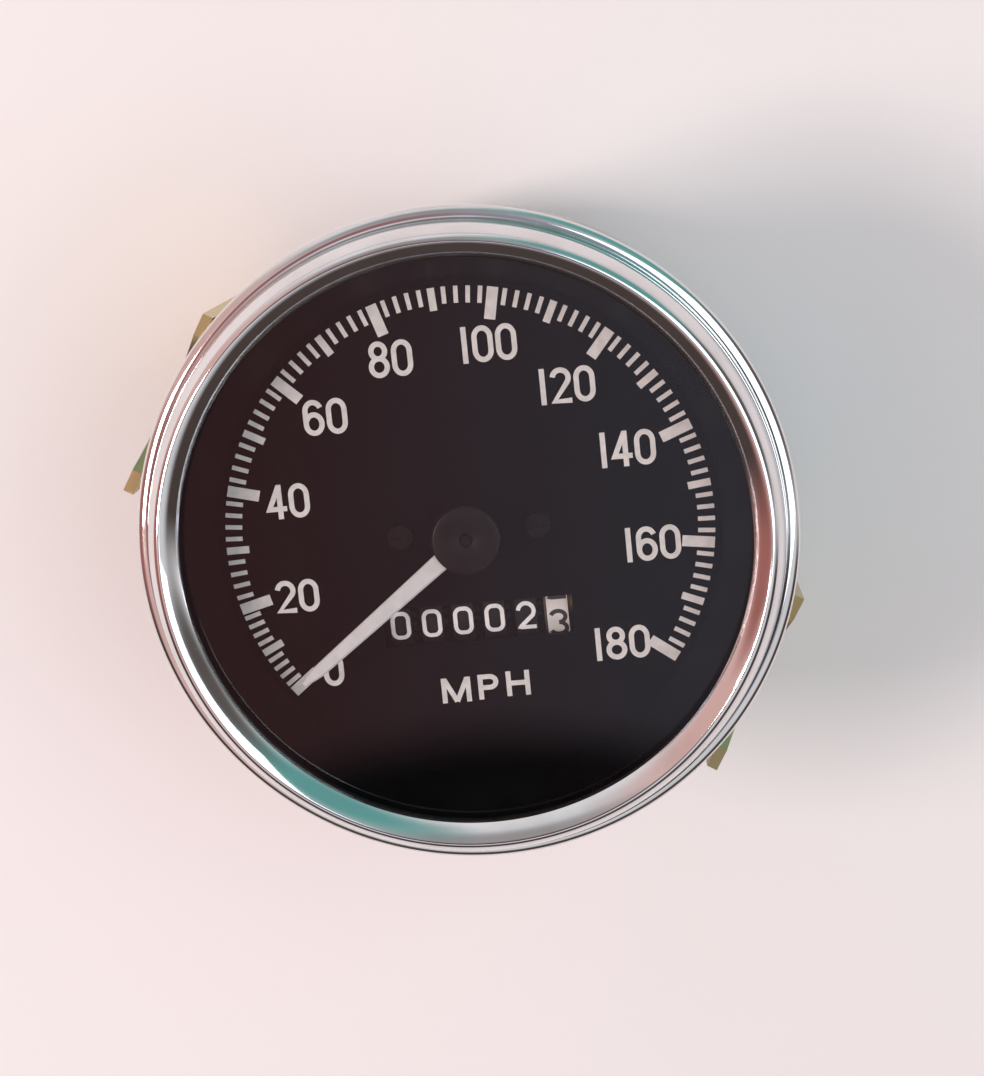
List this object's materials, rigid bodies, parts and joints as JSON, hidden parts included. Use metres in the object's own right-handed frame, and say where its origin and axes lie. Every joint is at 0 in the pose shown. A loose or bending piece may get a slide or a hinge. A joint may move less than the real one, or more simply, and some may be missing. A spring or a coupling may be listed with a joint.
{
  "type": "speedometer",
  "caption": "Round panel speedometer with plated bezel, black dial, white pointer, drum distance counter, magnetic drag movement and rear clamp strap.",
  "frame": {"origin": "centre of the bezel's rear seat, on the case's axis", "axes": "+Z out of the dial, +Y to 12 o'clock, +X to 3 o'clock"},
  "size_m": [0.0867, 0.085, 0.0691],
  "materials": {
    "plated_rim": "bright plated, lightly worn",
    "clear_glass": "clear flat glass",
    "rubber_seal": "matt black rubber",
    "gloss_black": "gloss black enamel",
    "dial_black": "satin black enamel",
    "pointer_white": "matt white enamel",
    "drum_white": "matt white",
    "drum_black": "matt black",
    "steel": "machined steel",
    "dark_screw": "blackened screw heads",
    "brass": "machined brass",
    "alloy": "cast alloy",
    "magnet_iron": "sintered magnet",
    "case_plate": "dull zinc plated sheet steel",
    "yellow_plate": "yellow passivated zinc plate"
  },
  "bodies": {
    "instrument": {"bezel": "plated_rim", "glass": "clear_glass", "bulbs": "clear_glass", "glass_seal": "rubber_seal", "mask_ring": "gloss_black", "dial_plate": "dial_black", "hairspring": "steel", "bridge_posts": "steel", "frame_screws": "steel", "left_plate": "steel", "right_plate": "steel", "drum_axle": "steel", "transfer_axle": "steel", "case_screws": "steel", "studs": "steel", "bulb_holders": "steel", "dial_screws": "dark_screw", "thrust_washer": "brass", "main_bush": "brass", "dial_pillars": "brass", "spindle_bush": "brass", "regulator_lever": "brass", "axle_spacers": "brass", "drive_boss": "alloy", "movement_base": "alloy", "top_bridge": "alloy", "case": "case_plate"},
    "pointer": {"pointer_blade": "pointer_white", "pointer_hub": "gloss_black", "pointer_spindle": "steel", "hairspring_collet": "brass", "cup_collet": "brass", "drag_cup": "alloy"},
    "drive": {"main_spindle": "steel", "drive_worm": "steel", "spindle_collar": "brass", "magnet": "magnet_iron", "field_cup": "steel"},
    "cross": {"cross_shaft": "steel", "cross_wheel": "brass", "cross_worm": "steel"},
    "riser": {"riser_shaft": "steel", "riser_wheel": "brass"},
    "tenths": {"drum_tenths": "drum_white", "crown_gear": "brass"},
    "units": {"drum_units": "drum_black"},
    "tens": {"drum_tens": "drum_black"},
    "hundreds": {"drum_hundreds": "drum_black"},
    "thousands": {"drum_thousands": "drum_black"},
    "ten_thousands": {"drum_ten_thousands": "drum_black"},
    "carry_1": {"transfer_pinion_1": "brass"},
    "carry_2": {"transfer_pinion_2": "brass"},
    "carry_3": {"transfer_pinion_3": "brass"},
    "carry_4": {"transfer_pinion_4": "brass"},
    "carry_5": {"transfer_pinion_5": "brass"},
    "clamp": {"clamp_bracket": "yellow_plate", "spring_washers": "steel"},
    "nut_1": {"clamp_nut_1": "brass"},
    "nut_2": {"clamp_nut_2": "brass"}
  },
  "joints": [
    {"name": "pointer_swing", "type": "hinge", "parent": "instrument", "child": "pointer", "pos_m": [0, 0, 0], "axis": [0, 0, -1], "range_deg": [0, 257.3], "stiffness_Nm_per_rad": 0.00002, "springref_deg": -20.05, "deforming": ["hairspring"]},
    {"name": "drive_spin", "type": "hinge", "parent": "instrument", "child": "drive", "pos_m": [0, 0, 0], "axis": [0, 0, -1], "continuous": true},
    {"name": "cross_spin", "type": "hinge", "parent": "instrument", "child": "cross", "pos_m": [0.0084, 0, -0.03724], "axis": [0, 1, 0], "continuous": true},
    {"name": "riser_spin", "type": "hinge", "parent": "instrument", "child": "riser", "pos_m": [0.0156, -0.0122, -0.03724], "axis": [0, 0, 1], "continuous": true},
    {"name": "tenths_roll", "type": "hinge", "parent": "instrument", "child": "tenths", "pos_m": [0, -0.0122, -0.0133], "axis": [-1, 0, 0], "continuous": true},
    {"name": "units_roll", "type": "hinge", "parent": "instrument", "child": "units", "pos_m": [0, -0.0122, -0.0133], "axis": [-1, 0, 0], "continuous": true},
    {"name": "tens_roll", "type": "hinge", "parent": "instrument", "child": "tens", "pos_m": [0, -0.0122, -0.0133], "axis": [-1, 0, 0], "continuous": true},
    {"name": "hundreds_roll", "type": "hinge", "parent": "instrument", "child": "hundreds", "pos_m": [0, -0.0122, -0.0133], "axis": [-1, 0, 0], "continuous": true},
    {"name": "thousands_roll", "type": "hinge", "parent": "instrument", "child": "thousands", "pos_m": [0, -0.0122, -0.0133], "axis": [-1, 0, 0], "continuous": true},
    {"name": "ten_thousands_roll", "type": "hinge", "parent": "instrument", "child": "ten_thousands", "pos_m": [0, -0.0122, -0.0133], "axis": [-1, 0, 0], "continuous": true},
    {"name": "carry_1_spin", "type": "hinge", "parent": "instrument", "child": "carry_1", "pos_m": [0, -0.0213, -0.0133], "axis": [-1, 0, 0], "continuous": true},
    {"name": "carry_2_spin", "type": "hinge", "parent": "instrument", "child": "carry_2", "pos_m": [0, -0.0213, -0.0133], "axis": [-1, 0, 0], "continuous": true},
    {"name": "carry_3_spin", "type": "hinge", "parent": "instrument", "child": "carry_3", "pos_m": [0, -0.0213, -0.0133], "axis": [-1, 0, 0], "continuous": true},
    {"name": "carry_4_spin", "type": "hinge", "parent": "instrument", "child": "carry_4", "pos_m": [0, -0.0213, -0.0133], "axis": [-1, 0, 0], "continuous": true},
    {"name": "carry_5_spin", "type": "hinge", "parent": "instrument", "child": "carry_5", "pos_m": [0, -0.0213, -0.0133], "axis": [-1, 0, 0], "continuous": true},
    {"name": "clamp_slide", "type": "slide", "parent": "instrument", "child": "clamp", "axis": [0, 0, 1], "range_m": [-0.005, 0]},
    {"name": "nut_1_turn", "type": "hinge", "parent": "clamp", "child": "nut_1", "pos_m": [-0.02747, 0.01447, -0.057], "axis": [0, 0, 1], "range_deg": [-2250, 0]},
    {"name": "nut_2_turn", "type": "hinge", "parent": "clamp", "child": "nut_2", "pos_m": [0.02567, -0.01747, -0.057], "axis": [0, 0, 1], "range_deg": [-2250, 0]}
  ],
  "couplings": [
    {"joint": "cross_spin", "follows": "drive_spin", "ratio": 0.05},
    {"joint": "riser_spin", "follows": "drive_spin", "ratio": 0.003125},
    {"joint": "tenths_roll", "follows": "drive_spin", "ratio": 0.00078125},
    {"joint": "units_roll", "follows": "drive_spin", "ratio": 0.000078125},
    {"joint": "tens_roll", "follows": "drive_spin", "ratio": 0.0000078125},
    {"joint": "hundreds_roll", "follows": "drive_spin", "ratio": 0.00000078125},
    {"joint": "thousands_roll", "follows": "drive_spin", "ratio": 0.000000078125},
    {"joint": "ten_thousands_roll", "follows": "drive_spin", "ratio": 0.0000000078125},
    {"joint": "carry_1_spin", "follows": "drive_spin", "ratio": -0.00019531},
    {"joint": "carry_2_spin", "follows": "drive_spin", "ratio": -0.000019531},
    {"joint": "carry_3_spin", "follows": "drive_spin", "ratio": -0.0000019531},
    {"joint": "carry_4_spin", "follows": "drive_spin", "ratio": -0.00000019531},
    {"joint": "carry_5_spin", "follows": "drive_spin", "ratio": -0.000000019531},
    {"joint": "nut_1_turn", "follows": "clamp_slide", "rad_per_m": 7854},
    {"joint": "nut_2_turn", "follows": "clamp_slide", "rad_per_m": 7854}
  ]
}
